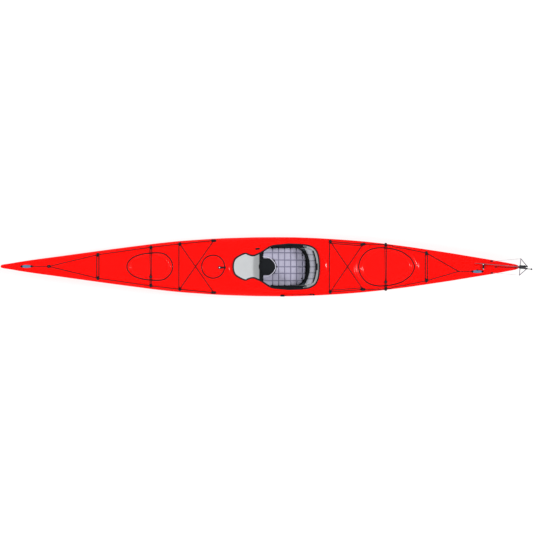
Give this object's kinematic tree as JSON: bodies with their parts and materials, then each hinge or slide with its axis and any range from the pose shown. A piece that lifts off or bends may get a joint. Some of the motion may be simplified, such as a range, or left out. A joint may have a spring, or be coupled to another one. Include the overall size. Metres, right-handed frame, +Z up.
{
  "type": "touring kayak",
  "caption": "Long narrow sea touring kayak with keyhole cockpit, sealed hatches, deck lines, padded seat and a rudder that flips over the stern.",
  "frame": {"origin": "on the keel flat, half way between the bow and the aftmost point of the rudder", "axes": "+X aft along the boat, +Y to starboard, +Z up"},
  "size_m": [5.3141, 0.5951, 0.408],
  "materials": {
    "shell_red": "gloss moulded shell",
    "cover_red": "gloss moulded cover",
    "black_plastic": "satin moulded nylon",
    "black_rubber": "soft rubber",
    "grey_foam": "closed-cell foam",
    "seat_fabric": "quilted woven cover",
    "rest_fabric": "quilted woven cover",
    "slate_plastic": "satin moulded plastic",
    "webbing": "flat webbing",
    "cordage": "braided cord",
    "toggle_blue": "moulded grip",
    "bare_aluminium": "brushed",
    "steel": "bright",
    "tape": "bonded strip"
  },
  "bodies": {
    "boat": {"hull_shell": "shell_red", "deck_shell": "shell_red", "seam_tapes": "tape", "bow_bulkhead": "tape", "stern_bulkhead": "tape", "cockpit_coaming": "black_plastic", "bow_hatch_rim": "black_plastic", "stern_hatch_rim": "black_plastic", "day_hatch_rim": "black_plastic", "bow_hatch_gasket": "black_rubber", "stern_hatch_gasket": "black_rubber", "day_hatch_gasket": "black_rubber", "day_hatch_pod": "tape", "seat_base_ribs": "grey_foam", "seat_pan": "black_plastic", "seat_hangers": "black_plastic", "hip_pads": "black_rubber", "seat_pad": "seat_fabric", "seat_front_block": "black_plastic", "backrest_pins": "steel", "backrest_straps": "webbing", "thigh_pads": "grey_foam", "foot_rails": "bare_aluminium", "foredeck_fittings": "black_plastic", "aftdeck_fittings": "black_plastic", "fitting_screws": "steel", "foredeck_lines": "cordage", "aftdeck_lines": "cordage", "foredeck_bungees": "cordage", "aftdeck_bungees": "cordage", "bow_toggle_tether": "cordage", "stern_toggle_tether": "cordage", "bow_hatch_cords": "cordage", "stern_hatch_cords": "cordage", "rudder_bracket": "bare_aluminium", "steering_pin": "steel", "rudder_chock": "black_rubber", "rudder_cables": "steel", "lift_line_stern": "cordage", "line_guides": "black_plastic", "haul_line": "cordage"},
    "bow_hatch": {"bow_hatch_cover": "cover_red", "bow_hatch_hook": "black_plastic"},
    "stern_hatch": {"stern_hatch_cover": "cover_red", "stern_hatch_hook": "black_plastic"},
    "day_hatch": {"day_hatch_cover": "cover_red"},
    "day_latch": {"day_hatch_latch": "black_plastic"},
    "backrest": {"backrest_frame": "slate_plastic", "backrest_pad": "rest_fabric", "backrest_shell": "black_plastic"},
    "port_pedal": {"pedal_port": "black_plastic"},
    "starboard_pedal": {"pedal_starboard": "black_plastic"},
    "bow_grip": {"bow_toggle": "toggle_blue"},
    "stern_grip": {"stern_toggle": "toggle_blue"},
    "rudder_mount": {"rudder_head": "black_plastic", "rudder_yoke": "bare_aluminium", "rudder_tail_ball": "black_rubber", "blade_bolt": "steel"},
    "blade": {"rudder_blade": "bare_aluminium"},
    "lift_bead": {"haul_bead": "black_plastic"}
  },
  "joints": [
    {"name": "rudder_steer", "type": "hinge", "parent": "boat", "child": "rudder_mount", "pos_m": [2.547, 0, 0.25], "axis": [0, 0, 1], "range_deg": [-30, 40], "deforming": ["rudder_cables", "lift_line_stern"]},
    {"name": "blade_lift", "type": "hinge", "parent": "rudder_mount", "child": "blade", "pos_m": [2.57889, -0.00265, 0.35], "axis": [0.0828, 0.9966, 0], "range_deg": [0, 250]},
    {"name": "starboard_pedal_slide", "type": "slide", "parent": "boat", "child": "starboard_pedal", "axis": [1, 0, 0], "range_m": [-0.06, 0.06]},
    {"name": "port_pedal_slide", "type": "slide", "parent": "boat", "child": "port_pedal", "axis": [1, 0, 0], "range_m": [-0.06, 0.06]},
    {"name": "lift_bead_slide", "type": "slide", "parent": "boat", "child": "lift_bead", "axis": [0.9993, 0.0259, -0.0269], "range_m": [-0.235, 0]},
    {"name": "backrest_tilt", "type": "hinge", "parent": "boat", "child": "backrest", "pos_m": [0.35205, 0, 0.1], "axis": [0, -1, 0], "range_deg": [0, 35], "deforming": ["backrest_straps"]},
    {"name": "bow_hatch_lift", "type": "slide", "parent": "boat", "child": "bow_hatch", "axis": [0, 0, 1], "range_m": [0, 0.15], "deforming": ["bow_hatch_cords"]},
    {"name": "stern_hatch_lift", "type": "slide", "parent": "boat", "child": "stern_hatch", "axis": [0, 0, 1], "range_m": [0, 0.15], "deforming": ["stern_hatch_cords"]},
    {"name": "day_hatch_lift", "type": "slide", "parent": "boat", "child": "day_hatch", "axis": [0, 0, 1], "range_m": [0, 0.12]},
    {"name": "day_latch_turn", "type": "hinge", "parent": "day_hatch", "child": "day_latch", "pos_m": [-0.46841, -0.009, 0.35], "axis": [0, 0, 1], "range_deg": [0, 90]},
    {"name": "bow_toggle_lift", "type": "slide", "parent": "boat", "child": "bow_grip", "axis": [0, 0, 1], "range_m": [0, 0.08], "deforming": ["bow_toggle_tether"]},
    {"name": "stern_toggle_lift", "type": "slide", "parent": "boat", "child": "stern_grip", "axis": [0, 0, 1], "range_m": [0, 0.08], "deforming": ["stern_toggle_tether"]}
  ],
  "couplings": [
    {"joint": "port_pedal_slide", "follows": "rudder_steer", "m_per_rad": 0.083},
    {"joint": "starboard_pedal_slide", "follows": "rudder_steer", "m_per_rad": -0.083},
    {"joint": "lift_bead_slide", "follows": "blade_lift", "m_per_rad": -0.05271}
  ]
}
